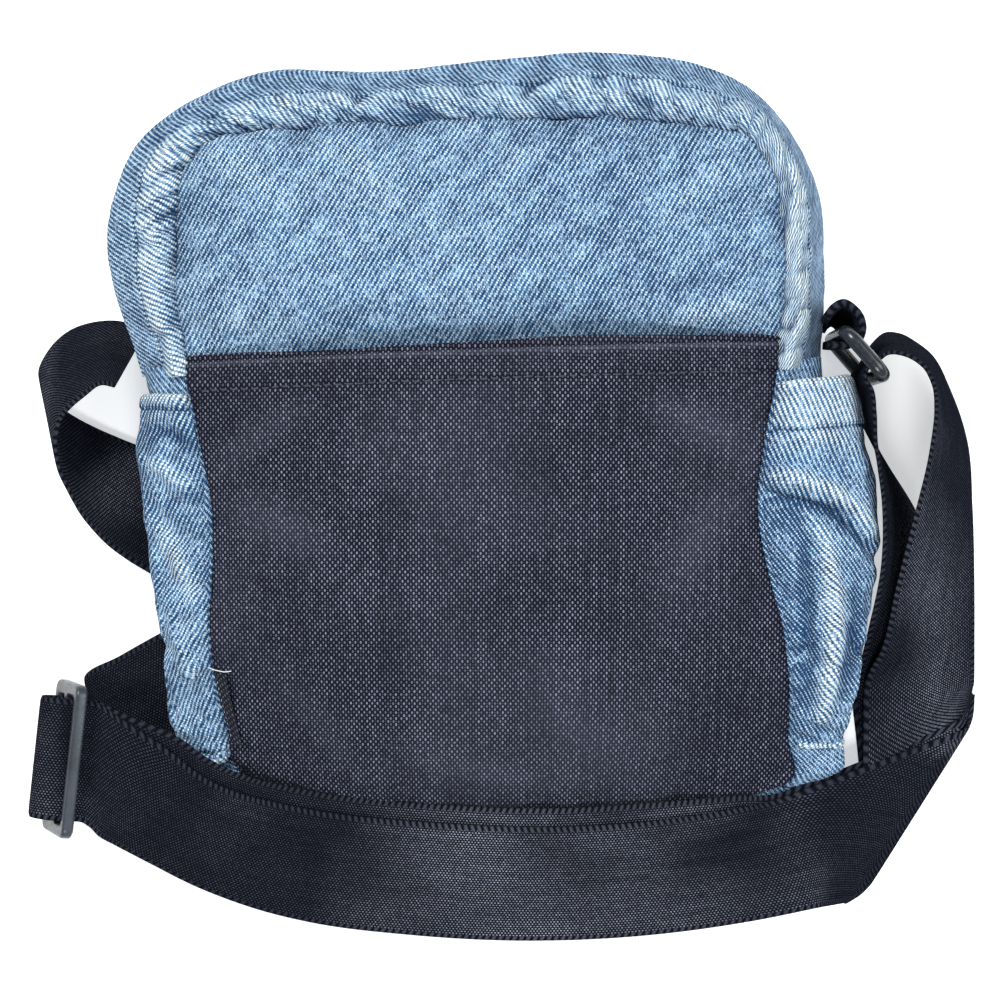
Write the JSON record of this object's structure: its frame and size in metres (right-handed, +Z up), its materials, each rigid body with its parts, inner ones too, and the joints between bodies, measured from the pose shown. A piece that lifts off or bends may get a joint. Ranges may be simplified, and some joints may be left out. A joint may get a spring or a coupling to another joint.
{
  "type": "shoulder bag",
  "caption": "Small denim shoulder bag lying on its front: canvas slip pocket, side pockets, zipped top, and an adjustable webbing strap laid round it.",
  "frame": {"origin": "the middle of the flat area of the front panel that the bag lies on", "axes": "+X to the right seen with the back panel up and the zipped top away, +Y towards the zipped top, +Z up, out of the back panel"},
  "size_m": [0.3043, 0.2814, 0.0621],
  "materials": {
    "denim": "washed blue twill",
    "canvas": "plain weave, dark navy",
    "lining": "thin plain weave",
    "foam": "thin padding",
    "webbing": "close herringbone weave with a slight sheen",
    "zip_tape": "woven tape",
    "zip_teeth": "moulded coil",
    "zip_metal": "dark plated metal",
    "plastic": "moulded plastic, satin",
    "label": "plain woven tab"
  },
  "bodies": {
    "bag": {"back_panel": "denim", "back_slip_pocket": "canvas", "back_foam": "foam", "back_lining": "lining", "gusset_rear_strip": "denim", "gusset_front_strip": "denim", "zip_tape_rear": "zip_tape", "zip_tape_front": "zip_tape", "zip_teeth_rear": "zip_teeth", "zip_teeth_front": "zip_teeth", "zip_stop_left": "zip_metal", "zip_stop_right": "zip_metal", "side_panel_left": "denim", "side_panel_right": "denim", "bottom_panel": "denim", "front_panel": "denim", "front_lining": "lining", "side_pocket_left": "denim", "side_pocket_right": "denim", "side_label": "label", "ring_tab": "webbing", "strap": "webbing"},
    "slider": {"zip_slider": "zip_metal"},
    "pull": {"zip_pull": "zip_metal"},
    "ring": {"strap_ring": "plastic"},
    "adjuster": {"strap_adjuster": "plastic"}
  },
  "joints": [
    {"name": "zip_slide", "type": "slide", "parent": "bag", "child": "slider", "axis": [1, 0, 0], "range_m": [-0.108, 0]},
    {"name": "pull_turn", "type": "hinge", "parent": "slider", "child": "pull", "pos_m": [0.054, 0.1184, 0.017], "axis": [0, 0, -1], "range_deg": [0, 170]},
    {"name": "ring_turn", "type": "hinge", "parent": "bag", "child": "ring", "pos_m": [0.11631, 0.03352, 0.0255], "axis": [0, 0, 1], "range_deg": [-4, 12], "deforming": ["strap"]},
    {"name": "adjuster_tilt", "type": "hinge", "parent": "bag", "child": "adjuster", "pos_m": [-0.1283, -0.1, 0.0147], "axis": [0.107, 0.9943, 0], "range_deg": [-6, 8], "deforming": ["strap"]}
  ]
}
